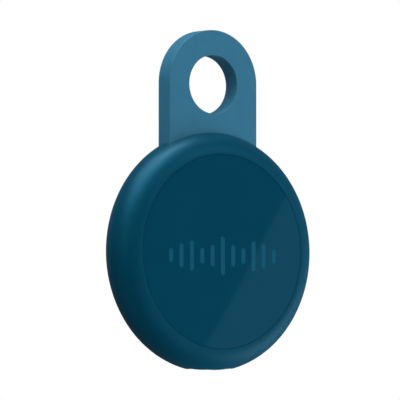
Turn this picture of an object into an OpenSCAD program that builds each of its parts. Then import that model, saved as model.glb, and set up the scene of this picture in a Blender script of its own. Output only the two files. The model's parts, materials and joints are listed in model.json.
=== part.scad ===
// Rechargeable bluetooth tracker tag: a round puck on a flexible silicone hang loop.
// Millimetres. +Z is up, the front face looks along -Y, the origin is the centre of the loop's hole.
// The puck's parts are drawn about its own centre: x to the right, y up, z towards the front.

/* [Puck] */
// Diameter of the puck
puck_d = 39; // [39:0.1:39.6]
// Thickness of the puck, which is also the diameter of its rounded rim
puck_t = 7.6; // [7.6:0.02:7.7]
// Diameter of the flat front plate's opening
face_d = 31.6; // [31.4:0.1:31.8]

/* [Hang loop] */
// Width of the strap
strap_w = 17.4; // [16.8:0.1:17.4]
// Thickness of the strap
strap_t = 3.2; // [3.0:0.05:3.2]
// Diameter of the hole
hole_d = 9.5; // [8:0.1:10]
// Height of the hole's centre above the puck's centre
hole_rise = 27.2; // [27:0.1:28.5]
// Distance of the strap's middle plane behind the puck's
strap_back = 0.4; // [0.3:0.05:0.45]

/* [Button] */
// Travel of the front plate
button_travel = 0.25; // [0.15:0.05:0.3]
// Number of bars in the front mark
mark_bars = 11; // [7:2:11]
// Length of the tallest bar
mark_bar_l = 6.2; // [4:0.2:7]

/* [Battery and speaker] */
// Diameter of the battery pouch
battery_d = 22.4; // [20:0.2:22.4]
// Thickness of the battery pouch
battery_t = 2.2; // [1.8:0.1:2.2]
// Diameter of the speaker's brass plate
piezo_d = 20; // [19.2:0.1:20.2]
// Number of sound holes in the rear cover
sound_holes = 5; // [3:2:7]

/* [Charging port] */
// Width of the receptacle's shell
usb_w = 8.94; // [8.94:0.01:9]
// Height of the receptacle's shell
usb_h = 3.16; // [3.16:0.01:3.2]

/* [Hidden] */
$fn = 96;

// Silicone of the loop, satin shell, and the glossy plate
strap_colour = "#396e8c";
shell_colour = "#063c54";
plate_colour = "#043a50";
mark_colour = "#1a5f7c";

// Puck: the rim is a round tube of radius half_t swept at radius rim_r
puck_r = puck_d / 2;
half_t = puck_t / 2;
rim_r = puck_r - half_t;
face_r = face_d / 2;
lip_z = 3.0;
bore_r = 17.0;
seat_z = -2.4;
seat_r = 17.75;
slot_gap = 0.05;

// Rear cover and its seal
cover_r = seat_r - 0.05;
cover_inner_z = -2.9;
cover_rim_z = -2.65;
skirt_r = [16.2, 16.8];
skirt_z = -2.35;
piezo_seat_r = [9.2, 10.3];
piezo_z = [-2.6, -2.4];
sound_hole_d = 1.0;
sound_hole_pitch = 2.2;
sound_hole_y = -6;

// Carrier: the ring-shaped chassis inside the bore
carrier_r = [16.0, 16.95];
carrier_z = [-2.3, 2.3];
boss_z = 2.2;
boss_r = 1.3;
block_y = 11.3;

// Hang loop's foot, held by two posts and a clamp plate
strap_half = strap_w / 2;
end_y = hole_rise + 0.15;
flex_y = 20.3;
anchor_top_y = flex_y - 1.25;
groove_r = strap_t / 2 + 0.04;
foot_half = strap_half + 0.6;
foot_y = [11.75, 12.8];
post_x = 5.0;
post_y = 14.0;
post_r = 1.4;
clamp_z = -strap_back - strap_t / 2 - slot_gap;
clamp_screw_r = 0.7;
clamp_screw_l = 3.2;
clamp_head_h = 0.3;
screw_head_r = 1.1;
screw_socket_r = 0.45;

// Main board, with its front side towards the plate
board_r = 15.8;
board_z = [0.4, 1.2];
board_top_y = 11.2;
board_screw_at = 14.4;
board_screw_angles = [28, 152, -44, -136];
board_screw_r = 0.6;
board_screw_l = 1.6;
board_head_h = 0.5;
shield_at = [-7, 4];
shield_w = 8.4;
shield_t = 0.15;
shield_h = 0.9;
chip_h = 0.6;
passive = [0.5, 1.0, 0.5];
usb_notch = [4.6, -11.3];

// Push button stack
membrane_r = 16.4;
membrane_z = [2.6, 3.0];
nub_z = 2.3;
plate_gap = 0.04;
relief_r = 14.6;
relief_h = 0.35;
plate_chamfer = 0.08;
switch_top_z = 1.75;
dome_z = 1.3;
dome_t = 0.06;
plunger_z = [dome_z + 2 * dome_t + button_travel, nub_z - 0.03];
plunger_r = 1.0;
mark_w = 0.8;
mark_pitch = 2.05;
mark_y = -0.7;
mark_low = 0.36;
mark_depth = 0.12;

// Battery stack
tape_t = 0.1;
battery_z = board_z[0] - tape_t - battery_t;

// Charging port: y runs from the mouth inwards, and the shell ends behind the rim's own lip
pocket_y = -18.0;
pocket = [10.2, 4.3];
mouth = [8.5, 2.66];
usb_y = [pocket_y + 0.03, -11.3];
usb_wall = 0.3;
usb_back_y = -12.9;
led_x = 7.0;
pipe_z = -0.15;
pipe_r = 0.5;

module in_puck() {
    translate([0, -strap_back, -hole_rise]) rotate([90, 0, 0]) children();
}

// Moves a shape back to the strap's middle plane
module in_strap() {
    translate([0, 0, -strap_back]) children();
}

// Raises a flat shape from one height to another
module layer(from_z, to_z) {
    translate([0, 0, from_z]) linear_extrude(to_z - from_z) children();
}

// Raises a flat shape along y
module along_y(from_y, to_y) {
    translate([0, from_y, 0]) rotate([-90, 0, 0]) linear_extrude(to_y - from_y) children();
}

// Raises a flat shape drawn in (y, z) along x, centred
module along_x(length) {
    rotate([90, 0, 90]) linear_extrude(length, center = true) children();
}

// Flat shape with round ends, w wide and l long, standing on end
module pill(w, l) {
    square([w, l - w], center = true);
    translate([0, (l - w) / 2]) circle(d = w);
    translate([0, (w - l) / 2]) circle(d = w);
}

// The same lying down, as the mouth of the charging port
module stadium(w, h) {
    rotate(90) pill(h, w);
}

// Rectangle between two x and two y values
module span(x0, x1, y0, y1) {
    translate([x0, y0]) square([x1 - x0, y1 - y0]);
}

// A small box that stands on the board's front side
module chip(x, y, w, l, h) {
    layer(board_z[1], board_z[1] + h) translate([x, y]) square([w, l], center = true);
}

// Section of the puck's rounded rim, drawn in (radius, z)
module rim_section() {
    translate([rim_r, 0]) circle(half_t);
}

module rim_solid() {
    rotate_extrude() rim_section();
}

// ---- Hang loop ----

module hang_loop() {
    color(strap_colour) in_puck() in_strap() difference() {
        intersection() {
            along_x(strap_w + 2) {
                span(flex_y, end_y + strap_w, -strap_t / 2, strap_t / 2);
                translate([flex_y, 0]) circle(d = strap_t);
            }
            layer(-strap_t, strap_t) {
                span(-strap_half, strap_half, flex_y - strap_t, end_y);
                translate([0, end_y]) circle(strap_half);
            }
        }
        translate([0, hole_rise, -strap_t]) cylinder(h = 2 * strap_t, d = hole_d);
    }
}

module loop_anchor() {
    color(strap_colour) in_puck() in_strap() difference() {
        layer(-strap_t / 2, strap_t / 2) difference() {
            union() {
                span(-foot_half, foot_half, foot_y[0], foot_y[1]);
                span(-strap_half, strap_half, foot_y[1], anchor_top_y);
            }
            for (x = [-post_x, post_x]) translate([x, post_y]) circle(post_r + slot_gap);
        }
        along_x(strap_w + 2) translate([flex_y, 0]) circle(groove_r);
    }
}

// Outline of the channel that holds the loop's foot
module channel_outline(gap, top_y) {
    span(-foot_half - gap, foot_half + gap, foot_y[0] - gap, foot_y[1] + gap);
    span(-strap_half - gap, strap_half + gap, foot_y[0], top_y);
}

module anchor_clamp() {
    color("#b9bdc1") in_puck() layer(carrier_z[0], clamp_z) difference() {
        intersection() {
            channel_outline(0, puck_r);
            circle(carrier_r[1] - slot_gap);
        }
        for (x = [-post_x, post_x]) translate([x, post_y]) circle(clamp_screw_r + slot_gap);
    }
}

// Screw that points towards the front, with its head's underside at z = 0
module screw(shank_r, shank_l, head_h) {
    cylinder(h = shank_l, r = shank_r);
    difference() {
        translate([0, 0, -head_h]) cylinder(h = head_h, r = screw_head_r);
        translate([0, 0, -head_h - 0.1]) cylinder(h = head_h / 2 + 0.1, r = screw_socket_r, $fn = 6);
    }
}

module anchor_screws() {
    color("#8d9296") in_puck() for (x = [-post_x, post_x]) translate([x, post_y, carrier_z[0]])
        screw(clamp_screw_r, clamp_screw_l, clamp_head_h);
}

// ---- Housing ----

module frame_ring() {
    color(shell_colour) in_puck() difference() {
        rotate_extrude() difference() {
            rim_section();
            span(0, face_r, lip_z, half_t + 1);
            span(0, bore_r, seat_z, lip_z);
            span(0, seat_r, -half_t - 1, seat_z);
        }
        in_strap() along_y(foot_y[1], puck_r + 1)
            square([strap_w + 2 * slot_gap, strap_t + 2 * slot_gap], center = true);
        along_y(pocket_y, usb_back_y) stadium(pocket[0] + 0.05, pocket[1] + 0.05);
        along_y(-puck_r - 1, usb_back_y) stadium(mouth[0], mouth[1]);
        translate([led_x, 0, pipe_z]) along_y(-puck_r - 1, usb_back_y) circle(pipe_r + 0.02);
    }
}

module rear_cover() {
    color(shell_colour) in_puck() difference() {
        rotate_extrude() {
            span(0, rim_r, -half_t, cover_inner_z);
            intersection() {
                rim_section();
                span(rim_r, cover_r, -half_t, cover_rim_z);
            }
            span(skirt_r[0], skirt_r[1], cover_rim_z - 0.1, skirt_z);
            span(piezo_seat_r[0], piezo_seat_r[1], cover_inner_z - 0.1, piezo_z[0]);
        }
        for (i = [0 : sound_holes - 1])
            translate([(i - (sound_holes - 1) / 2) * sound_hole_pitch, sound_hole_y, -half_t - 1])
                cylinder(h = 2, d = sound_hole_d);
    }
}

module rear_seal() {
    color("#22262a") in_puck() layer(cover_rim_z, seat_z) difference() {
        circle(cover_r - 0.02);
        circle(bore_r + 0.02);
    }
}

module inner_carrier() {
    color("#2c3034") in_puck() difference() {
        union() {
            layer(carrier_z[0], carrier_z[1]) difference() {
                circle(carrier_r[1]);
                circle(carrier_r[0]);
            }
            layer(carrier_z[1] - 0.1, lip_z - 0.02) difference() {
                circle(carrier_r[1]);
                circle(membrane_r + slot_gap);
            }
            layer(carrier_z[0], boss_z) intersection() {
                span(-puck_r, puck_r, block_y, puck_r);
                circle(carrier_r[0] + 0.4);
            }
            layer(board_z[1], boss_z) at_board_screws() {
                span(0, carrier_r[0] + 0.4 - board_screw_at, -boss_r, boss_r);
                circle(boss_r);
            }
        }
        difference() {
            layer(carrier_z[0] - 1, clamp_z + strap_t + 2 * slot_gap) channel_outline(slot_gap, puck_r);
            for (x = [-post_x, post_x]) translate([x, post_y, clamp_z]) cylinder(h = puck_t, r = post_r);
        }
        for (x = [-post_x, post_x]) translate([x, post_y, carrier_z[0]])
            cylinder(h = clamp_screw_l + 0.15, r = clamp_screw_r + 0.02);
        at_board_screws() translate([0, 0, board_z[1] - 0.5])
            cylinder(h = board_screw_l - 0.2, r = board_screw_r + 0.02);
        layer(carrier_z[0] - 1, boss_z) span(-5.6, led_x + 0.8, -puck_r, usb_back_y);
    }
}

// ---- Main board ----

// Repeats a shape at each of the board's screws
module at_board_screws() {
    for (a = board_screw_angles) rotate(a) translate([board_screw_at, 0]) children();
}

module main_board() {
    color("#1d5a3a") in_puck() layer(board_z[0], board_z[1]) difference() {
        intersection() {
            circle(board_r);
            span(-puck_r, puck_r, -puck_r, board_top_y);
        }
        span(-usb_notch[0], usb_notch[0], -puck_r, usb_notch[1]);
        at_board_screws() circle(board_screw_r + slot_gap);
    }
}

module board_screws() {
    color("#9aa0a4") in_puck() at_board_screws() translate([0, 0, board_z[0]])
        screw(board_screw_r, board_screw_l, board_head_h);
}

module bluetooth_chip() {
    color("#1b1b1d") in_puck() chip(shield_at[0], shield_at[1] + 0.8, 5, 5, chip_h);
}

module rf_shield() {
    inner_w = shield_w - 2 * shield_t;
    color("#c2c6c8") in_puck() difference() {
        chip(shield_at[0], shield_at[1], shield_w, shield_w, shield_h);
        chip(shield_at[0], shield_at[1], inner_w, inner_w, shield_h - shield_t);
        layer(board_z[1], board_z[1] + 1) for (i = [-2 : 2])
            translate([shield_at[0] + 1.5 * i, shield_at[1] + 3]) circle(0.35);
    }
}

module crystals() {
    color("#d5d8d8") in_puck() {
        chip(shield_at[0] - 1.6, shield_at[1] - 3.2, 2.0, 1.2, 0.5);
        chip(shield_at[0] + 1.6, shield_at[1] - 3.2, 1.6, 1.0, 0.5);
    }
}

module chip_antenna() {
    color("#e8e6df") in_puck() chip(13.6, 0, 1.6, 3.2, chip_h);
}

module charger_chip() {
    color("#1b1b1d") in_puck() chip(6, -8, 3, 3, chip_h);
}

module audio_driver() {
    color("#1b1b1d") in_puck() chip(6.5, -2.5, 2, 2, chip_h);
}

module boost_inductor() {
    color("#5b5f63") in_puck() difference() {
        chip(10, -5.5, 3, 3, 0.9);
        translate([0, 0, 0.8]) chip(10, -5.5, 1.6, 1.6, 0.3);
    }
}

// Rows of small capacitors and resistors round the chips
module passives() {
    color("#b49a76") in_puck() {
        for (i = [0 : 5]) chip(-11 + 1.6 * i, -2.2, passive[0], passive[1], passive[2]);
        for (i = [0 : 5]) chip(-10 + 1.6 * i, -5.6, passive[0], passive[1], passive[2]);
        for (i = [0 : 4]) chip(3.2 + 1.5 * i, 4.6, passive[0], passive[1], passive[2]);
        for (i = [0 : 3]) chip(3.4, -4.6 - 1.5 * i, passive[1], passive[0], passive[2]);
        for (i = [0 : 2]) chip(10.2, 0.4 + 1.4 * i, passive[1], passive[0], passive[2]);
    }
}

module status_led() {
    color("#f2efe2") in_puck() layer(-0.2, board_z[0])
        translate([led_x, -13.2]) square([1.6, 0.6], center = true);
}

module light_pipe() {
    color("#dfe8ea") in_puck() intersection() {
        rim_solid();
        translate([led_x, 0, pipe_z]) along_y(-puck_r - 1, -13.6) circle(pipe_r);
    }
}

// ---- Push button ----

module switch_base() {
    color("#2a2c2e") in_puck() difference() {
        chip(0, 0, 3.6, 3.6, switch_top_z - board_z[1]);
        translate([0, 0, dome_z]) cylinder(h = 1, r = plunger_r + 0.05);
    }
}

// Thin domed spring under the plunger, part of a sphere about the puck's centre
module switch_dome() {
    dome_r = plunger_z[0] - 0.02;
    color("#c9ccce") in_puck() intersection() {
        translate([0, 0, dome_z]) cylinder(h = 1, r = plunger_r - 0.05);
        difference() {
            sphere(dome_r);
            sphere(dome_r - dome_t);
        }
    }
}

module switch_plunger() {
    color("#3c4043") in_puck() layer(plunger_z[0], plunger_z[1]) circle(plunger_r);
}

module front_membrane() {
    color("#12161a") in_puck() {
        layer(membrane_z[0], membrane_z[1]) circle(membrane_r);
        layer(nub_z, membrane_z[0] + 0.1) circle(1.5);
    }
}

// Length of the bar that stands i places from the middle: short and tall bars take turns along the
// row, and the tall ones shrink towards its ends
function bar_l(i) = mark_bar_l
    * (mark_low + (1 - mark_low) * wave(i) * (1 - 0.9 * abs(i) / (mark_bars - 1)));

function wave(i) = pow(cos(180 * 3 * i / (mark_bars - 1)), 2);

module mark_outline() {
    last = (mark_bars - 1) / 2;
    for (i = [-last : last]) translate([i * mark_pitch, mark_y]) pill(mark_w, bar_l(i));
}

module front_plate() {
    plate_r = face_r - plate_gap;
    color(plate_colour) in_puck() difference() {
        rotate_extrude() polygon([
            [0, lip_z], [relief_r, lip_z], [relief_r, lip_z + relief_h], [plate_r, lip_z + relief_h],
            [plate_r, half_t - plate_chamfer], [plate_r - plate_chamfer, half_t], [0, half_t]
        ]);
        layer(half_t - mark_depth, half_t + 1) mark_outline();
    }
}

module front_mark() {
    color(mark_colour) in_puck() layer(half_t - mark_depth, half_t) mark_outline();
}

// ---- Battery ----

module battery_cell() {
    color("#c9cdd0") in_puck() difference() {
        layer(battery_z, battery_z + battery_t) circle(d = battery_d);
        for (z = [battery_z - 0.01, battery_z + battery_t - 0.29]) layer(z, z + 0.3) difference() {
            circle(d = battery_d + 1);
            circle(d = battery_d - 0.6);
        }
    }
}

module battery_tape() {
    color("#e9e2c8") in_puck() layer(board_z[0] - tape_t, board_z[0]) circle(d = battery_d - 4);
}

module battery_board() {
    color("#1d5a3a") in_puck() layer(-0.9, -0.5) span(-15, -11.9, -3.8, 3.8);
}

// Two bent nickel strips from the battery's board to the main board
module battery_tabs() {
    color("#d9dadb") in_puck() for (y = [-2.6, 2.6]) {
        layer(-0.5, board_z[0]) translate([-14.6, y]) square([0.15, 1.6], center = true);
        layer(board_z[0] - 0.15, board_z[0]) translate([-14.1, y]) square([1.1, 1.6], center = true);
    }
}

// ---- Charging port ----

module usb_shell() {
    color("#c4c8cb") in_puck() difference() {
        union() {
            along_y(usb_y[0], usb_y[1]) stadium(usb_w, usb_h);
            for (x = [-1, 1], y = [-13.9, -12.2]) layer(board_z[1], board_z[1] + 0.15)
                translate([x * 4.65, y]) square([2.1, 1.0], center = true);
        }
        along_y(usb_y[0] - 1, usb_y[1] + 1) stadium(usb_w - 2 * usb_wall, usb_h - 2 * usb_wall);
    }
}

module usb_insulator() {
    color("#202224") in_puck() {
        along_y(usb_back_y, usb_y[1]) stadium(usb_w - 2 * usb_wall - 0.04, usb_h - 2 * usb_wall - 0.04);
        along_y(usb_back_y - 4.6, usb_back_y + 0.2) square([6.69, 0.6], center = true);
    }
}

module usb_contacts() {
    color("#c9a24a") in_puck() for (side = [-1, 1], i = [0 : 11])
        along_y(usb_back_y - 4.1, usb_back_y)
            translate([(i - 5.5) * 0.5, side * 0.325]) square([0.25, 0.05], center = true);
}

module usb_seal() {
    color("#22262a") in_puck() along_y(usb_y[0], -16.6) difference() {
        stadium(pocket[0], pocket[1]);
        stadium(usb_w + 0.04, usb_h + 0.04);
    }
}

// ---- Speaker ----

module piezo_plate() {
    color("#c8a24c") in_puck() layer(piezo_z[0], piezo_z[1]) circle(d = piezo_d);
}

module piezo_ceramic() {
    color("#e4e1d8") in_puck() layer(piezo_z[1], piezo_z[1] + 0.2) circle(7);
}

// Thin flexible strip that feeds the speaker from the main board
module piezo_flex() {
    strip_x = 12.4;
    color("#b8742c") in_puck() {
        layer(piezo_z[1] + 0.2, piezo_z[1] + 0.3) span(0, strip_x, -1.2, 1.2);
        layer(piezo_z[1] + 0.2, board_z[0]) span(strip_x - 0.1, strip_x, -1.2, 1.2);
    }
}

hang_loop();
loop_anchor();
anchor_clamp();
anchor_screws();
frame_ring();
rear_cover();
rear_seal();
inner_carrier();
main_board();
board_screws();
bluetooth_chip();
rf_shield();
crystals();
chip_antenna();
charger_chip();
audio_driver();
boost_inductor();
passives();
status_led();
light_pipe();
switch_base();
switch_dome();
switch_plunger();
battery_cell();
battery_tape();
battery_board();
battery_tabs();
usb_shell();
usb_insulator();
usb_contacts();
usb_seal();
piezo_plate();
piezo_ceramic();
piezo_flex();
front_plate();
front_mark();
front_membrane();
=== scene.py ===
import json
import math

import bmesh
import bpy
from mathutils import Matrix, Vector


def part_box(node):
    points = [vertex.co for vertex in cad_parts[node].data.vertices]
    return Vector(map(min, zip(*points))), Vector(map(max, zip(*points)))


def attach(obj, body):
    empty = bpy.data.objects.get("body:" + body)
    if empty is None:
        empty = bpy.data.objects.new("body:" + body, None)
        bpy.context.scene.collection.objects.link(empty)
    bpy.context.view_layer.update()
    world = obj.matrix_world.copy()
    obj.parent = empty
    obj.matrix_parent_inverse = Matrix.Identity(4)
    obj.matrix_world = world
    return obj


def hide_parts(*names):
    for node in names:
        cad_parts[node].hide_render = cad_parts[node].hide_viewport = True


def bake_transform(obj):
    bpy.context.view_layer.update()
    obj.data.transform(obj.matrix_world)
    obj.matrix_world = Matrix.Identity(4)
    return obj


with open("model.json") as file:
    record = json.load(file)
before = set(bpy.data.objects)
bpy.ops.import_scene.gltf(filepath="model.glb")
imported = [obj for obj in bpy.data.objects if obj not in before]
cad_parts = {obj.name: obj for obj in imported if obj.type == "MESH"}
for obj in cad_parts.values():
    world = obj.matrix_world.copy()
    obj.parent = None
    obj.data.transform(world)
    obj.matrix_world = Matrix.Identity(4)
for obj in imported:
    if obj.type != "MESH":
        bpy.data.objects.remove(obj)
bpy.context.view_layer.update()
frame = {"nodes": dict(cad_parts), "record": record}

MM = 0.001

# ---- Sizes, read from the frame --------------------------------------------------------------

plate_lo, plate_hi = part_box("front_plate")
loop_lo, loop_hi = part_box("hang_loop")
anchor_lo, anchor_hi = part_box("loop_anchor")
pipe_lo, pipe_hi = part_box("light_pipe")
gasket_lo, gasket_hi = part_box("rear_seal")
dome_lo, dome_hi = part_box("switch_dome")
cover_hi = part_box("rear_cover")[1]
hole_r = next(m for m in frame["record"]["mounts"] if m["name"] == "loop_hole")["dims"]["r_mm"] * MM

puck_y = (plate_lo.y + cover_hi.y) / 2
puck_z = (plate_lo.z + plate_hi.z) / 2
puck_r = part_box("frame_ring")[1].x
half_t = (cover_hi.y - plate_lo.y) / 2
rim_r = puck_r - half_t
plate_r = plate_hi.x
face_r = plate_r + 0.02 * MM
bore_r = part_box("inner_carrier")[1].x + 0.05 * MM
cover_r = cover_hi.x
seat_r = cover_r + 0.05 * MM
strap_half = loop_hi.x
strap_t = loop_hi.y - loop_lo.y
strap_end_z = loop_hi.z - strap_half

# Heights inside the housing, measured from the puck's middle towards the front
lip_h = puck_y - plate_hi.y
lip_under_h = lip_h + 0.02 * MM
seat_h = puck_y - gasket_lo.y
cover_rim_h = puck_y - gasket_hi.y
cover_inner_h = cover_rim_h - 0.25 * MM
piezo_h = puck_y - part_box("piezo_plate")[1].y

# ---- Sizes that no node's box gives ----------------------------------------------------------

# Charging port: width and height of its mouth, and of the pocket behind it
mouth_w, mouth_h = 8.5 * MM, 2.66 * MM
pocket_w, pocket_h = 10.25 * MM, 4.35 * MM
pocket_top_z = puck_z - 14 * MM

# Rear cover: its skirt, the ring that the piezo sits on, and the row of sound holes
skirt_in_r, skirt_out_r, skirt_h = 16.2 * MM, 16.8 * MM, -2.35 * MM
piezo_seat_in_r, piezo_seat_out_r = 9.2 * MM, 10.3 * MM
sound_holes = 5
sound_hole_r, sound_hole_pitch = 0.5 * MM, 2.2 * MM
sound_hole_z = puck_z - 6 * MM

# Front plate: the thicker middle of its underside
relief_r, relief_h = 14.6 * MM, 0.35 * MM

# Strap: its edge radius, where the pattern round the hole meets the neck, and its foot
strap_fillet = 0.12 * MM
neck_z = -6.5 * MM
neck_step = 0.45 * MM
ear_z = anchor_lo.z + 1.05 * MM
post_x, post_z, post_hole_r = 5 * MM, puck_z + 14 * MM, 1.45 * MM

# Places past the outside of the puck, where cutters start or end
below_z = puck_z - puck_r - 2 * MM
above_z = puck_z + puck_r + 2 * MM

# Direction of the camera, in degrees: azimuth 0 is straight in front, positive to the right
VIEW_AZIMUTH = -35.59
VIEW_ELEVATION = -1.877


# ---- Mesh helpers ----------------------------------------------------------------------------

def new_object(name, mesh):
    obj = bpy.data.objects.new(name, mesh)
    bpy.context.scene.collection.objects.link(obj)
    return obj


def finish_mesh(bm, name, sharp_deg=35):
    """Turns a bmesh into an object with smooth shading and crisp edges."""
    bmesh.ops.recalc_face_normals(bm, faces=bm.faces)
    mesh = bpy.data.meshes.new(name)
    bm.to_mesh(mesh)
    bm.free()
    mesh.shade_smooth()
    mesh.set_sharp_from_angle(angle=math.radians(sharp_deg))
    return new_object(name, mesh)


def puck_point(r, angle, h):
    """A point of the puck: radius, angle about its axis, and height towards the front."""
    return Vector((r * math.cos(angle), puck_y - h, puck_z + r * math.sin(angle)))


def lathe(name, profile, steps=288):
    """Revolves a closed outline of (radius, height) points about the puck's axis."""
    bm = bmesh.new()
    rings = []
    for r, h in profile:
        if r < 1e-9:
            rings.append([bm.verts.new(puck_point(0, 0, h))] * steps)
        else:
            rings.append([bm.verts.new(puck_point(r, math.tau * i / steps, h)) for i in range(steps)])
    for ring, above in zip(rings, rings[1:] + rings[:1]):
        if ring[0] is ring[1] and above[0] is above[1]:
            continue
        for i in range(steps):
            j = (i + 1) % steps
            corners = [ring[i], ring[j], above[j], above[i]]
            bm.faces.new(list(dict.fromkeys(corners)))
    return finish_mesh(bm, name)


def arc(centre, radius, start_deg, end_deg, steps):
    """Points of an arc in the (radius, height) plane, both ends included."""
    angles = [math.radians(start_deg + (end_deg - start_deg) * i / steps) for i in range(steps + 1)]
    return [(centre[0] + radius * math.cos(a), centre[1] + radius * math.sin(a)) for a in angles]


def stadium(width, height, steps=20):
    """Outline of a slot with round ends, as (x, y, outward x, outward y)."""
    r = height / 2
    points = []
    for side in (1, -1):
        for i in range(steps + 1):
            a = math.radians(-90 + 180 * i / steps) + (0 if side > 0 else math.pi)
            x, y = math.cos(a), math.sin(a)
            points.append((side * (width / 2 - r) + r * x, r * y, x, y))
    return points


def circle(cx, cy, r, steps):
    """Points of a circle."""
    turn = [math.tau * i / steps for i in range(steps)]
    return [(cx + r * math.cos(a), cy + r * math.sin(a)) for a in turn]


def bridge(bm, row, above):
    """Joins two closed rows of points with a band of faces."""
    count = len(row)
    for i in range(count):
        j = (i + 1) % count
        bm.faces.new([row[i], row[j], above[j], above[i]])


def loft(name, loops):
    """Joins equal loops of points into one closed solid with flat ends."""
    bm = bmesh.new()
    rows = [[bm.verts.new(p) for p in loop] for loop in loops]
    for row, above in zip(rows, rows[1:]):
        bridge(bm, row, above)
    bm.faces.new(rows[0][::-1])
    bm.faces.new(rows[-1])
    return finish_mesh(bm, name)


def box_solid(name, lo, hi):
    x0, y0, z0 = lo
    x1, y1, z1 = hi
    floor_loop = [(x0, y0), (x1, y0), (x1, y1), (x0, y1)]
    return loft(name, [[Vector((x, y, z)) for x, y in floor_loop] for z in (z0, z1)])


def tidy_mesh(mesh):
    """Merges the near-coincident points that a cut leaves behind, so that no sliver face remains."""
    bm = bmesh.new()
    bm.from_mesh(mesh)
    bmesh.ops.remove_doubles(bm, verts=bm.verts, dist=0.001 * MM)
    bmesh.ops.dissolve_degenerate(bm, dist=0.001 * MM, edges=bm.edges)
    bm.to_mesh(mesh)
    bm.free()


def carve(obj, cutters):
    """Subtracts the cutters from obj's mesh and deletes them."""
    for cutter in cutters:
        cut = obj.modifiers.new("cut", "BOOLEAN")
        cut.operation = "DIFFERENCE"
        cut.solver = "EXACT"
        cut.object = cutter
    bpy.context.view_layer.update()
    carved = bpy.data.meshes.new_from_object(obj.evaluated_get(bpy.context.evaluated_depsgraph_get()))
    obj.modifiers.clear()
    old = obj.data
    obj.data = carved
    carved.name = obj.name
    bpy.data.meshes.remove(old)
    for cutter in cutters:
        bpy.data.objects.remove(cutter)
    tidy_mesh(carved)
    carved.shade_smooth()
    carved.set_sharp_from_angle(angle=math.radians(35))
    return obj


def rim_depth(x, y):
    """The rim's lower surface, as a z value, at a place seen from below."""
    r = rim_r + math.sqrt(max(half_t ** 2 - y ** 2, 0))
    return puck_z - math.sqrt(r ** 2 - x ** 2)


# ---- Pieces ----------------------------------------------------------------------------------

def make_rim():
    """The one-piece rim: a full round outside, a thin lip round the plate and a seat for the cover."""
    edge = 0.02 * MM
    front_deg = math.degrees(math.acos((face_r + edge - rim_r) / half_t))
    rear_deg = -math.degrees(math.acos((seat_r + edge - rim_r) / half_t))
    front_h = half_t * math.sin(math.radians(front_deg))
    rear_h = half_t * math.sin(math.radians(rear_deg))
    profile = [(face_r, lip_under_h), (face_r, front_h - edge * 1.6), (face_r, front_h - edge)]
    profile += arc((face_r + edge, front_h - edge), edge, 180, 90, 4)[1:-1]
    profile += arc((rim_r, 0), half_t, front_deg, rear_deg, 72)
    profile += [(seat_r, rear_h + edge), (seat_r, seat_h), (bore_r, seat_h), (bore_r, lip_under_h)]
    return lathe("rim", profile)


def port_cutter(chamfer=0.16 * MM):
    """The charging port's mouth, flared to a small chamfer that follows the rim's curve."""
    outline = stadium(mouth_w, mouth_h)
    loops = [[Vector((x, puck_y + y, pocket_top_z)) for x, y, _, _ in outline]]
    loops.append([Vector((x, puck_y + y, rim_depth(x, y) + chamfer)) for x, y, _, _ in outline])
    for step in (1 / 3, 2 / 3, 1.0, 1.5):
        grow = chamfer * (1 - math.cos(step * math.pi / 2)) if step <= 1 else chamfer * 1.5
        depth = chamfer * (1 - math.sin(min(step, 1) * math.pi / 2)) if step <= 1 else -chamfer * 0.5
        loops.append([
            Vector((x + nx * grow, puck_y + y + ny * grow, rim_depth(x + nx * grow, y + ny * grow) + depth))
            for x, y, nx, ny in outline
        ])
    loops.append([Vector((p.x, p.y, below_z)) for p in loops[-1]])
    return loft("port_cutter", loops)


def pocket_cutter():
    """The pocket behind the mouth that the seal and the port's shell sit in."""
    outline = stadium(pocket_w, pocket_h)
    ends = (pocket_top_z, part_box("usb_seal")[0].z - 0.03 * MM)
    return loft("pocket_cutter", [[Vector((x, puck_y + y, z)) for x, y, _, _ in outline] for z in ends])


def slot_cutter():
    """The slot in the top of the rim that the strap comes out of."""
    gap = 0.05 * MM
    lo = (-strap_half - gap, -strap_t / 2 - gap, puck_z + 12 * MM)
    hi = (strap_half + gap, strap_t / 2 + gap, above_z)
    return box_solid("slot_cutter", lo, hi)


def pipe_cutter():
    """The hole for the light pipe, a little wider than the pipe."""
    r = (pipe_hi.x - pipe_lo.x) / 2 + 0.02 * MM
    ring = circle((pipe_lo.x + pipe_hi.x) / 2, (pipe_lo.y + pipe_hi.y) / 2, r, 32)
    return loft("pipe_cutter", [[Vector((x, y, z)) for x, y in ring] for z in (below_z, pocket_top_z)])


def make_rear_cover():
    """Flat back that carries on the rim's curve outside, with the piezo's seat and a skirt inside."""
    edge = 0.07 * MM
    rim_deg = -math.degrees(math.acos((cover_r - edge - rim_r) / half_t))
    rim_h = half_t * math.sin(math.radians(rim_deg))
    flat = [0, 3, 6, 9, 12, 14, 15, 15.5]
    profile = [(r * MM, -half_t) for r in flat]
    profile += arc((rim_r, 0), half_t, -90, rim_deg, 14)
    profile += [(cover_r, rim_h + edge), (cover_r, cover_rim_h)]
    profile += [(skirt_out_r, cover_rim_h), (skirt_out_r, skirt_h), (skirt_in_r, skirt_h)]
    profile += [(skirt_in_r, cover_rim_h), (rim_r, cover_rim_h), (rim_r, cover_inner_h)]
    profile += [(piezo_seat_out_r, cover_inner_h), (piezo_seat_out_r, piezo_h), (piezo_seat_in_r, piezo_h)]
    profile += [(piezo_seat_in_r, cover_inner_h), (0, cover_inner_h)]
    return lathe("back_cover", profile)


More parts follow.
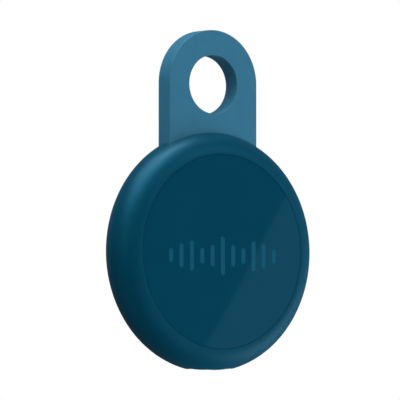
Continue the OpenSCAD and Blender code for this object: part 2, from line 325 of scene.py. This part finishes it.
def sound_hole_cutters():
    """Round holes with a small countersink, in a row below the middle of the back."""
    cutters = []
    sink = 0.12 * MM
    sink_r = sound_hole_r + sink * 1.5
    rows = [
        (sound_hole_r, 2 * MM),
        (sound_hole_r, half_t - sink),
        (sink_r, half_t + sink * 0.5),
        (sink_r, half_t + MM),
    ]
    for i in range(sound_holes):
        cx = (i - (sound_holes - 1) // 2) * sound_hole_pitch
        loops = []
        for r, y in rows:
            loops.append([Vector((x, puck_y + y, z)) for x, z in circle(cx, sound_hole_z, r, 36)])
        cutters.append(loft(f"sound_hole_cutter_{i + 1}", loops))
    return cutters


def make_plate():
    """The glossy push plate: dead flat, with a fine rounded edge and a stepped underside."""
    edge = 0.03 * MM
    top = half_t - 0.008 * MM
    relief_top = lip_h + relief_h
    profile = [(0, lip_h), (relief_r, lip_h), (relief_r, relief_top), (plate_r, relief_top)]
    profile += arc((plate_r - edge, top - edge), edge, 0, 90, 5)
    profile += [(r * MM, top) for r in (15.8, 15.6, 15, 13, 10, 7, 4, 0)]
    return lathe("gloss_plate", profile)


def make_dome():
    """The switch's thin snap dome, a shallow cap on the puck's axis."""
    thick = 0.06 * MM
    top_h, base_h = puck_y - dome_lo.y, puck_y - dome_hi.y
    outer_deg = math.degrees(math.acos(dome_hi.x / top_h))
    inner_deg = math.degrees(math.asin(base_h / (top_h - thick)))
    profile = arc((0, 0), top_h, 90, outer_deg, 12)
    profile[0] = (0, top_h)
    profile += [(dome_hi.x, base_h)]
    profile += arc((0, 0), top_h - thick, inner_deg, 90, 12)[:-1]
    profile += [(0, top_h - thick)]
    return lathe("snap_dome", profile, steps=48)


def islands(node):
    """Boxes of a node's separate solids, as (low corner, high corner), from left to right."""
    bm = bmesh.new()
    bm.from_mesh(frame["nodes"][node].data)
    bmesh.ops.remove_doubles(bm, verts=bm.verts, dist=1e-6)
    seen, found = set(), []
    for start in bm.verts:
        if start in seen:
            continue
        seen.add(start)
        stack, members = [start], []
        while stack:
            vert = stack.pop()
            members.append(vert.co.copy())
            for e in vert.link_edges:
                other = e.other_vert(vert)
                if other not in seen:
                    seen.add(other)
                    stack.append(other)
        low = Vector([min(p[k] for p in members) for k in range(3)])
        high = Vector([max(p[k] for p in members) for k in range(3)])
        found.append((low, high))
    bm.free()
    return sorted(found, key=lambda b: b[0].x)


def make_mark():
    """The generic front mark: a row of rounded sound bars printed on the plate."""
    edge = 0.006 * MM
    bm = bmesh.new()
    for low, high in islands("front_mark"):
        cx, cz = (low.x + high.x) / 2, (low.z + high.z) / 2
        outline = stadium(high.z - low.z, high.x - low.x, steps=14)
        rows = []
        for inwards, y in ((0, high.y), (0, low.y + edge), (edge, low.y), (0.04 * MM, low.y)):
            points = [(cx + v - nv * inwards, y, cz + u - nu * inwards) for u, v, nu, nv in outline]
            rows.append([bm.verts.new(point) for point in points])
        for row, above in zip(rows, rows[1:]):
            bridge(bm, row, above)
        bm.faces.new(rows[0][::-1])
        bm.faces.new(rows[-1])
    return finish_mesh(bm, "sound_bars", sharp_deg=25)


# The strap's outline is a list of samples: (point as x and z, its outward normal). A sample with no
# normal lies inside, where the pattern round the hole meets the neck's grid.

strap_columns = [-1 + 2 * i / 24 for i in range(25)]


def inset(sample, amount):
    """A sample's point, moved inwards."""
    (x, z), normal = sample
    return (x, z) if normal is None else (x - normal[0] * amount, z - normal[1] * amount)


def strap_ring():
    """Samples round the hole: along the neck's top, up the right side, round the end and down."""
    ring = [((u * (strap_half - strap_fillet), neck_z), None) for u in strap_columns]
    ring[-1] = ((strap_half, neck_z), (1, 0))
    ring[0] = ((-strap_half, neck_z), (-1, 0))
    heights = [neck_z + (strap_end_z - neck_z) * i / 8 for i in range(1, 8)]
    ring += [((strap_half, z), (1, 0)) for z in heights]
    for i in range(49):
        a = math.pi * i / 48
        out = (math.cos(a), math.sin(a))
        ring.append(((strap_half * out[0], strap_end_z + strap_half * out[1]), out))
    ring += [((-strap_half, z), (-1, 0)) for z in heights[::-1]]
    return ring


def strap_neck():
    """Rows of the neck and the wider foot below it, from the top down, as (z, half width)."""
    ear_half = anchor_hi.x
    rows = [neck_z - neck_step * i for i in range(1, int((neck_z - ear_z) / neck_step))]
    neck = [(z, strap_half) for z in rows if z > ear_z + 0.2 * MM]
    neck += [(ear_z + 0.05 * MM, strap_half), (ear_z - 0.05 * MM, ear_half)]
    neck += [(anchor_lo.z + strap_fillet, ear_half)]
    return neck


def strap_edge(ring, neck):
    """The whole outside edge as samples, in the order that strap_face gives its outline."""
    ear_half = neck[-1][1]
    foot_z = anchor_lo.z
    edge = ring[len(strap_columns) - 1:] + ring[:1]
    edge += [((-width, z), (-1, 0)) for z, width in neck[:-1]]
    edge += [((-ear_half, foot_z), (-1, -1))]
    edge += [((u * (ear_half - strap_fillet), foot_z), (0, -1)) for u in strap_columns[1:-1]]
    edge += [((ear_half, foot_z), (1, -1))]
    edge += [((width, z), (1, 0)) for z, width in neck[-2::-1]]
    return edge


def hole_point(sample, r):
    """The point of the hole's circle of radius r that faces a sample of the ring."""
    x, z = inset(sample, strap_fillet)
    a = math.atan2(z, x)
    return r * math.cos(a), r * math.sin(a)


def hole_edge(ring):
    """The hole's edge as samples, whose normals point into the hole."""
    samples = []
    for sample in ring:
        x, z = hole_point(sample, 1)
        samples.append(((hole_r * x, hole_r * z), (-x, -z)))
    return samples


def strap_face(bm, y, ring, neck):
    """One flat side of the strap, short of its edge radius. Returns its points round the hole, and
    those of its outline."""
    shares = [0, 0.02, 0.08] + [0.08 + 0.84 * i / 8 for i in range(1, 9)] + [0.98, 1]
    loops = []
    for share in shares:
        loop = []
        for sample in ring:
            ox, oz = inset(sample, strap_fillet)
            ix, iz = hole_point(sample, hole_r + strap_fillet)
            loop.append(bm.verts.new((ix + (ox - ix) * share, y, iz + (oz - iz) * share)))
        loops.append(loop)
    for loop, outer in zip(loops, loops[1:]):
        bridge(bm, loop, outer)
    last = len(strap_columns) - 1
    grid = [loops[-1][: last + 1]]
    for z, width in neck:
        grid.append([bm.verts.new((u * (width - strap_fillet), y, z)) for u in strap_columns])
    for row, below in zip(grid, grid[1:]):
        for i in range(last):
            bm.faces.new([row[i], row[i + 1], below[i + 1], below[i]])
    outline = loops[-1][last:] + [loops[-1][0]]
    outline += [row[0] for row in grid[1:]]
    outline += grid[-1][1:]
    outline += [row[-1] for row in grid[-2:0:-1]]
    return loops[0], outline


def wrap_edge(bm, front, back, samples):
    """Closes the edge between the two flat sides with two fillets and a flat band."""
    half = strap_t / 2
    section = []
    for i in range(1, 7):
        a = math.radians(90 * i / 6)
        section.append((strap_fillet * (1 - math.sin(a)), -half + strap_fillet * (1 - math.cos(a))))
    section += [(0, half * k) for k in (-0.8, -0.4, 0, 0.4, 0.8)]
    section += [(d, -y) for d, y in section[5::-1]]
    rows = [front]
    for depth, y in section[:-1]:
        row = []
        for sample in samples:
            x, z = inset(sample, depth)
            row.append(bm.verts.new((x, y, z)))
        rows.append(row)
    rows.append(back)
    for row, above in zip(rows, rows[1:]):
        bridge(bm, row, above)


def make_strap():
    """The silicone loop in one piece, from its foot in the housing to its round end, with soft edges."""
    bm = bmesh.new()
    ring, neck = strap_ring(), strap_neck()
    front_hole, front_outline = strap_face(bm, -strap_t / 2, ring, neck)
    back_hole, back_outline = strap_face(bm, strap_t / 2, ring, neck)
    wrap_edge(bm, front_hole, back_hole, hole_edge(ring))
    wrap_edge(bm, front_outline, back_outline, strap_edge(ring, neck))
    return finish_mesh(bm, "silicone_loop", sharp_deg=50)


def post_cutters():
    """The two holes in the foot that the carrier's posts pass through."""
    cutters = []
    for side in (-1, 1):
        ring = circle(side * post_x, post_z, post_hole_r, 40)
        loops = [[Vector((x, y, z)) for x, z in ring] for y in (-4 * MM, 4 * MM)]
        cutters.append(loft(f"post_cutter_{side + 2}", loops))
    return cutters


# ---- Materials -------------------------------------------------------------------------------

def srgb(r, g, b):
    """Linear colour from 0 to 255 screen values."""
    def channel(v):
        v /= 255
        return v / 12.92 if v <= 0.04045 else ((v + 0.055) / 1.055) ** 2.4
    return (channel(r), channel(g), channel(b), 1.0)


def shaded(colour, factor):
    return tuple(c * factor for c in colour[:3]) + (1.0,)


class Surface:
    """A procedural material: a Principled shader fed by noises in the object's own coordinates."""

    def __init__(self, name, **settings):
        self.material = bpy.data.materials.new(name)
        self.material.use_nodes = True
        self.tree = self.material.node_tree
        self.shader = self.tree.nodes["Principled BSDF"]
        self.coords = self.tree.nodes.new("ShaderNodeTexCoord")
        for socket, value in settings.items():
            self.shader.inputs[socket.replace("_", " ")].default_value = value

    def stretched(self, scale):
        """Object coordinates scaled along x, y and z."""
        mapping = self.tree.nodes.new("ShaderNodeMapping")
        mapping.inputs["Scale"].default_value = scale
        self.tree.links.new(self.coords.outputs["Object"], mapping.inputs["Vector"])
        return mapping.outputs["Vector"]

    def noise(self, size_mm, detail=3.0, roughness=0.55, vector=None):
        node = self.tree.nodes.new("ShaderNodeTexNoise")
        node.inputs["Scale"].default_value = 1000 / size_mm
        node.inputs["Detail"].default_value = detail
        node.inputs["Roughness"].default_value = roughness
        self.tree.links.new(vector or self.coords.outputs["Object"], node.inputs["Vector"])
        return node.outputs["Fac"]

    def voronoi(self, size_mm, feature="F1"):
        node = self.tree.nodes.new("ShaderNodeTexVoronoi")
        node.feature = feature
        node.inputs["Scale"].default_value = 1000 / size_mm
        self.tree.links.new(self.coords.outputs["Object"], node.inputs["Vector"])
        return node.outputs["Distance"]

    def remap(self, value, low, high, from_low=0.3, from_high=0.7):
        node = self.tree.nodes.new("ShaderNodeMapRange")
        node.inputs["From Min"].default_value = from_low
        node.inputs["From Max"].default_value = from_high
        node.inputs["To Min"].default_value = low
        node.inputs["To Max"].default_value = high
        self.tree.links.new(value, node.inputs["Value"])
        return node.outputs["Result"]

    def colours(self, value, low, high, from_low=0.3, from_high=0.7):
        ramp = self.tree.nodes.new("ShaderNodeValToRGB")
        ramp.color_ramp.elements[0].position = from_low
        ramp.color_ramp.elements[1].position = from_high
        ramp.color_ramp.elements[0].color = low
        ramp.color_ramp.elements[1].color = high
        self.tree.links.new(value, ramp.inputs["Fac"])
        self.tree.links.new(ramp.outputs["Color"], self.shader.inputs["Base Color"])

    def rough(self, value, low, high, from_low=0.3, from_high=0.7):
        result = self.remap(value, low, high, from_low, from_high)
        self.tree.links.new(result, self.shader.inputs["Roughness"])

    def bump(self, value, height_mm, strength=1.0):
        node = self.tree.nodes.new("ShaderNodeBump")
        node.inputs["Distance"].default_value = height_mm * MM
        node.inputs["Strength"].default_value = strength
        self.tree.links.new(value, node.inputs["Height"])
        before = self.shader.inputs["Normal"].links
        if before:
            self.tree.links.new(before[0].from_socket, node.inputs["Normal"])
        self.tree.links.new(node.outputs["Normal"], self.shader.inputs["Normal"])


STRAP_BLUE = srgb(41, 105, 134)
SHELL_BLUE = srgb(2, 60, 82)
PLATE_BLUE = srgb(2, 60, 83)
MARK_BLUE = srgb(14, 78, 103)
BLUE_GLINT = (0.2, 0.68, 1.0, 1.0)
SHELL_GLINT = (0.08, 0.62, 1.0, 1.0)


def loop_silicone():
    """Matte moulded silicone with a faint dusty sheen."""
    s = Surface("loop_silicone", IOR=1.41)
    s.colours(s.noise(3.0, 4), shaded(STRAP_BLUE, 0.96), shaded(STRAP_BLUE, 1.04))
    s.rough(s.noise(0.9, 4), 0.46, 0.54)
    s.bump(s.noise(0.09, 3), 0.0022)
    s.bump(s.noise(1.6, 2), 0.004)
    return s.material


def shell_satin():
    """Spark-eroded satin plastic: a fine even grain that softens its highlights."""
    s = Surface("shell_satin", IOR=1.45, Specular_Tint=SHELL_GLINT)
    s.colours(s.noise(4.0, 4), shaded(SHELL_BLUE, 0.97), shaded(SHELL_BLUE, 1.03))
    s.rough(s.noise(0.5, 4), 0.38, 0.44)
    s.bump(s.noise(0.07, 3), 0.0016)
    return s.material


def plate_gloss():
    """Polished plastic with a trace of flow ripple and handling haze."""
    s = Surface("plate_gloss", IOR=1.5, Specular_Tint=BLUE_GLINT)
    s.colours(s.noise(6.0, 3), shaded(PLATE_BLUE, 0.98), shaded(PLATE_BLUE, 1.02))
    s.rough(s.noise(1.4, 5), 0.015, 0.035)
    s.bump(s.noise(2.6, 2), 0.0004)
    return s.material


def mark_print():
    """Glossy tone-on-tone ink."""
    s = Surface("mark_print", IOR=1.5, Specular_Tint=BLUE_GLINT)
    s.colours(s.noise(0.3, 3), shaded(MARK_BLUE, 0.95), shaded(MARK_BLUE, 1.05))
    s.rough(s.noise(0.5, 4), 0.12, 0.2)
    s.bump(s.noise(0.12, 3), 0.0006)
    return s.material


def moulded(name, colour, low, high, grain_mm=0.1, height_mm=0.002, **settings):
    """Plain moulded plastic, rubber or epoxy."""
    s = Surface(name, **settings)
    s.colours(s.noise(1.5, 4), shaded(colour, 0.9), shaded(colour, 1.1))
    s.rough(s.noise(0.4, 4), low, high)
    s.bump(s.noise(grain_mm, 3), height_mm)
    return s.material


def metal(name, colour, low, high, grain=(1, 1, 14), grain_mm=0.4, height_mm=0.0008):
    """Worked metal with a directional grain."""
    s = Surface(name, Metallic=1.0)
    streaks = s.noise(grain_mm, 4, 0.6, s.stretched(grain))
    s.colours(streaks, shaded(colour, 0.86), shaded(colour, 1.08))
    s.rough(s.noise(0.25, 4, 0.6, s.stretched(grain)), low, high)
    s.bump(streaks, height_mm)
    return s.material


def board_laminate():
    """Green solder mask over copper tracks that stand up a little."""
    s = Surface("board_laminate", Coat_Weight=0.3, Coat_Roughness=0.15)
    green = srgb(20, 92, 58)
    s.colours(s.voronoi(1.1, "DISTANCE_TO_EDGE"), shaded(green, 1.35), green, 0.04, 0.09)
    s.rough(s.noise(0.5, 3), 0.3, 0.42)
    s.bump(s.voronoi(1.1, "DISTANCE_TO_EDGE"), 0.02, 0.4)
    return s.material


def pouch_foil():
    """Crinkled laminated foil."""
    s = Surface("pouch_foil", Metallic=1.0)
    foil = srgb(196, 200, 204)
    s.colours(s.noise(1.2, 5), shaded(foil, 0.85), foil)
    s.rough(s.noise(0.8, 4), 0.22, 0.4)
    s.bump(s.voronoi(1.8), 0.03, 0.5)
    return s.material


def clear_resin(name, colour, roughness):
    s = Surface(name, Transmission_Weight=0.6, IOR=1.49)
    s.colours(s.noise(0.8, 3), shaded(colour, 0.94), colour)
    s.rough(s.noise(0.2, 3), roughness, roughness + 0.12)
    s.bump(s.noise(0.1, 3), 0.001)
    return s.material


def make_materials():
    """One material for each of the record's slots."""
    return {
        "loop_silicone": loop_silicone(),
        "shell_satin": shell_satin(),
        "plate_gloss": plate_gloss(),
        "mark_print": mark_print(),
        "board_laminate": board_laminate(),
        "pouch_foil": pouch_foil(),
        "dark_silicone": moulded("dark_silicone", srgb(34, 38, 42), 0.6, 0.72),
        "carrier_plastic": moulded("carrier_plastic", srgb(46, 50, 54), 0.45, 0.58),
        "chip_epoxy": moulded("chip_epoxy", srgb(27, 27, 29), 0.5, 0.65, 0.05, 0.003),
        "ferrite": moulded("ferrite", srgb(88, 92, 96), 0.5, 0.62, 0.08, 0.004),
        "passive_ceramic": moulded("passive_ceramic", srgb(180, 154, 118), 0.35, 0.5, 0.06),
        "white_ceramic": moulded("white_ceramic", srgb(228, 225, 216), 0.4, 0.52, 0.06),
        "switch_plastic": moulded("switch_plastic", srgb(38, 40, 43), 0.4, 0.52),
        "tape": moulded("tape", srgb(233, 226, 200), 0.7, 0.85, 0.15, 0.006),
        "flex_film": moulded("flex_film", srgb(184, 116, 44), 0.2, 0.32, 0.4, 0.001, Coat_Weight=0.4),
        "led_resin": clear_resin("led_resin", srgb(242, 239, 226), 0.15),
        "light_pipe": clear_resin("light_pipe", srgb(214, 228, 232), 0.3),
        "steel_plate": metal("steel_plate", srgb(188, 192, 196), 0.25, 0.38, (14, 1, 1)),
        "screw_steel": metal("screw_steel", srgb(150, 154, 158), 0.22, 0.36, (1, 14, 1)),
        "tin_plate": metal("tin_plate", srgb(200, 204, 206), 0.28, 0.42, (10, 1, 1)),
        "port_steel": metal("port_steel", srgb(198, 202, 206), 0.18, 0.3, (1, 1, 12)),
        "contact_gold": metal("contact_gold", srgb(214, 174, 92), 0.18, 0.28, (1, 1, 8)),
        "piezo_brass": metal("piezo_brass", srgb(206, 168, 92), 0.25, 0.4, (12, 1, 1)),
    }


def dress(obj, material):
    obj.data.materials.clear()
    obj.data.materials.append(material)


# ---- Stage -----------------------------------------------------------------------------------

def direction(azimuth, elevation):
    """Unit vector from the puck: azimuth 0 is straight in front, positive to the right."""
    a, e = math.radians(azimuth), math.radians(elevation)
    return Vector((math.sin(a) * math.cos(e), -math.cos(a) * math.cos(e), math.sin(e)))


def softbox(name, azimuth, elevation, radiance, width=0.25, height=0.25, distance=0.6):
    """A soft rectangular light; radiance is its brightness, whatever its size."""
    data = bpy.data.lights.new(name, "AREA")
    data.shape = "RECTANGLE"
    data.size = width
    data.size_y = height
    data.energy = radiance * math.pi * width * height
    lamp = bpy.data.objects.new(name, data)
    bpy.context.scene.collection.objects.link(lamp)
    centre = Vector((0, puck_y, puck_z))
    lamp.location = centre + direction(azimuth, elevation) * distance
    lamp.rotation_euler = (centre - lamp.location).to_track_quat("-Z", "Y").to_euler()
    return lamp


def reflected_panel(radiance, size=0.3, distance=0.6):
    """A flat panel seen in the plate, placed so that its edge crosses the reflection on a slant."""
    azimuth = math.radians(-VIEW_AZIMUTH)
    out = direction(-VIEW_AZIMUTH, -VIEW_ELEVATION)
    right = Vector((math.cos(azimuth), math.sin(azimuth), 0))
    up = out.cross(right)
    slant = math.radians(62.1)
    along = right * math.cos(slant) + up * math.sin(slant)
    across = right * math.sin(slant) - up * math.cos(slant)
    edge = Vector((0, plate_lo.y, puck_z)) + out * distance + right * 15 * MM - up * 6.9 * MM
    lamp = softbox("reflected_panel", 0, 0, radiance, size, size)
    place = Matrix.Translation(edge + across * size / 2)
    lamp.matrix_world = place @ Matrix((across, along, out)).transposed().to_4x4()


def fill(name, azimuth, elevation, radiance):
    """A large soft fill that lights surfaces but isn't mirrored in them."""
    lamp = softbox(name, azimuth, elevation, radiance, 0.4, 0.4)
    lamp.visible_glossy = False


def make_lights():
    softbox("overhead", 0, 85, 8.3)
    softbox("top_front", -22, 65, 4.0)
    softbox("top_left", -67, 65, 4.0)
    softbox("top_left_back", -112, 65, 4.5)
    softbox("left", -75, 45, 4.1)
    softbox("left_low", -62, 12, 1.5, width=0.12)
    softbox("key", -45, 45, 2.3)
    softbox("right_high", 30, 25, 1.8)
    softbox("right_low", 60, -25, 1.1, width=0.3, height=0.3)
    reflected_panel(0.42)
    fill("front_fill", 10, -25, 2.9)
    fill("low_right_fill", 60, -35, 1.8)
    fill("right_fill", 88, -22, 12.0)
    fill("low_left_fill", -95, -40, 1.5)
    fill("back_fill", 180, 10, 3.0)


def make_world():
    """White to the camera, and a dim even grey for everything it lights."""
    world = bpy.data.worlds.new("studio")
    bpy.context.scene.world = world
    world.use_nodes = True
    tree = world.node_tree
    seen = tree.nodes["Background"]
    seen.inputs["Color"].default_value = (1, 1, 1, 1)
    lit = tree.nodes.new("ShaderNodeBackground")
    lit.inputs["Color"].default_value = (1, 1, 1, 1)
    lit.inputs["Strength"].default_value = 0.09
    path = tree.nodes.new("ShaderNodeLightPath")
    mix = tree.nodes.new("ShaderNodeMixShader")
    tree.links.new(path.outputs["Is Camera Ray"], mix.inputs["Fac"])
    tree.links.new(lit.outputs["Background"], mix.inputs[1])
    tree.links.new(seen.outputs["Background"], mix.inputs[2])
    tree.links.new(mix.outputs["Shader"], tree.nodes["World Output"].inputs["Surface"])


def make_floor():
    """A plain pale floor below the tag, which hangs; it is only seen, and throws no light back."""
    bm = bmesh.new()
    bmesh.ops.create_grid(bm, x_segments=8, y_segments=8, size=5)
    mesh = bpy.data.meshes.new("floor")
    bm.to_mesh(mesh)
    bm.free()
    floor = new_object("floor", mesh)
    floor.location = (0, 0, puck_z - puck_r - 0.35)
    floor.visible_diffuse = False
    floor.visible_glossy = False
    floor.visible_transmission = False
    floor.visible_shadow = False
    paper = Surface("floor_paper", Roughness=0.9, Emission_Color=(1, 1, 1, 1), Emission_Strength=0.7)
    paper.colours(paper.noise(30, 2), (0.86, 0.86, 0.86, 1), (0.88, 0.88, 0.88, 1))
    dress(floor, paper.material)


def make_camera():
    """A long lens from the left of the front plate, level with a point a little below its middle."""
    azimuth = math.radians(VIEW_AZIMUTH)
    distance = 0.6241
    shift_right, shift_up = -1.498 * MM, 8.43 * MM
    back = direction(VIEW_AZIMUTH, VIEW_ELEVATION)
    right = Vector((math.cos(azimuth), math.sin(azimuth), 0))
    up = back.cross(right)
    data = bpy.data.cameras.new("camera")
    data.lens = 345.8
    data.sensor_width = 36
    data.clip_start = 0.01
    camera = bpy.data.objects.new("camera", data)
    bpy.context.scene.collection.objects.link(camera)
    place = Vector((0, puck_y, puck_z)) + right * shift_right + up * shift_up + back * distance
    turn = Matrix((right, up, back)).transposed().to_4x4()
    camera.matrix_world = Matrix.Translation(place) @ turn
    bpy.context.scene.camera = camera


# ---- Assembly --------------------------------------------------------------------------------

make_camera()
make_world()
make_lights()
make_floor()
bpy.context.scene.view_settings.view_transform = "Standard"

materials = make_materials()
slots = {part["node"]: part["material_slot"] for part in frame["record"]["subparts"]}
for node_name, node_object in frame["nodes"].items():
    dress(node_object, materials[slots[node_name]])

rim = carve(make_rim(), [port_cutter(), pocket_cutter(), slot_cutter(), pipe_cutter()])
back_cover = carve(make_rear_cover(), sound_hole_cutters())
gloss_plate = make_plate()
sound_bars = make_mark()
silicone_loop = carve(make_strap(), post_cutters())
snap_dome = make_dome()

for piece, node_name, body in (
    (rim, "frame_ring", "housing"),
    (back_cover, "rear_cover", "housing"),
    (gloss_plate, "front_plate", "button"),
    (sound_bars, "front_mark", "button"),
):
    dress(piece, materials[slots[node_name]])
    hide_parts(node_name)
    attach(piece, body)

dress(silicone_loop, materials["loop_silicone"])
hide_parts("hang_loop", "loop_anchor")
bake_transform(silicone_loop)

dress(snap_dome, materials[slots["switch_dome"]])
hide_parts("switch_dome")
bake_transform(snap_dome)
